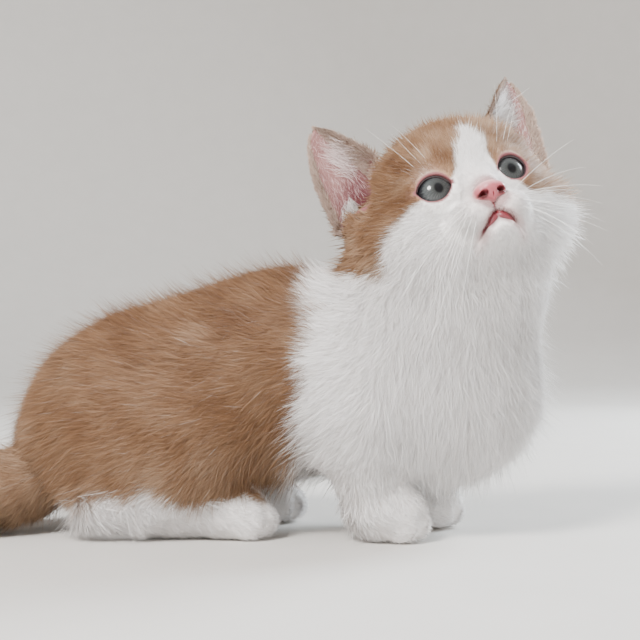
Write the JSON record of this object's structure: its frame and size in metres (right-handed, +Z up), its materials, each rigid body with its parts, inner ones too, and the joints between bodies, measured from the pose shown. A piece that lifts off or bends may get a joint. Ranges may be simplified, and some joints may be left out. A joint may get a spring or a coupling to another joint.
{
  "type": "munchkin kitten",
  "caption": "Ginger-and-white munchkin kitten sitting with long hind feet flat and short forelegs straight, its round head turned to its right and lifted, tail laid along the floor.",
  "frame": {"origin": "on the floor, under the middle of the kitten's bounding box", "axes": "+X the way the body faces, +Y towards the kitten's left, +Z up"},
  "size_m": [0.3178, 0.101, 0.1718],
  "materials": {
    "ginger_coat": "soft plush fur, warm tan-orange with faint darker mottling",
    "white_coat": "soft plush fur, white",
    "nose_leather": "fine-grained, slightly moist",
    "eye": "clear wet cornea over a grey-blue iris"
  },
  "bodies": {
    "root": {"torso": "ginger_coat", "chest": "white_coat", "neck": "white_coat", "foreleg_right": "white_coat", "foreleg_left": "white_coat", "forepaw_right": "white_coat", "forepaw_left": "white_coat", "thigh_right": "ginger_coat", "thigh_left": "ginger_coat", "hind_foot_right": "white_coat", "hind_foot_left": "white_coat", "tail_root": "ginger_coat", "tail_middle": "ginger_coat", "tail_tip": "ginger_coat", "head": "ginger_coat", "jaw": "white_coat", "nose": "nose_leather", "ear_right": "ginger_coat", "ear_left": "ginger_coat", "eye_right": "eye", "eye_left": "eye"}
  },
  "joints": []
}
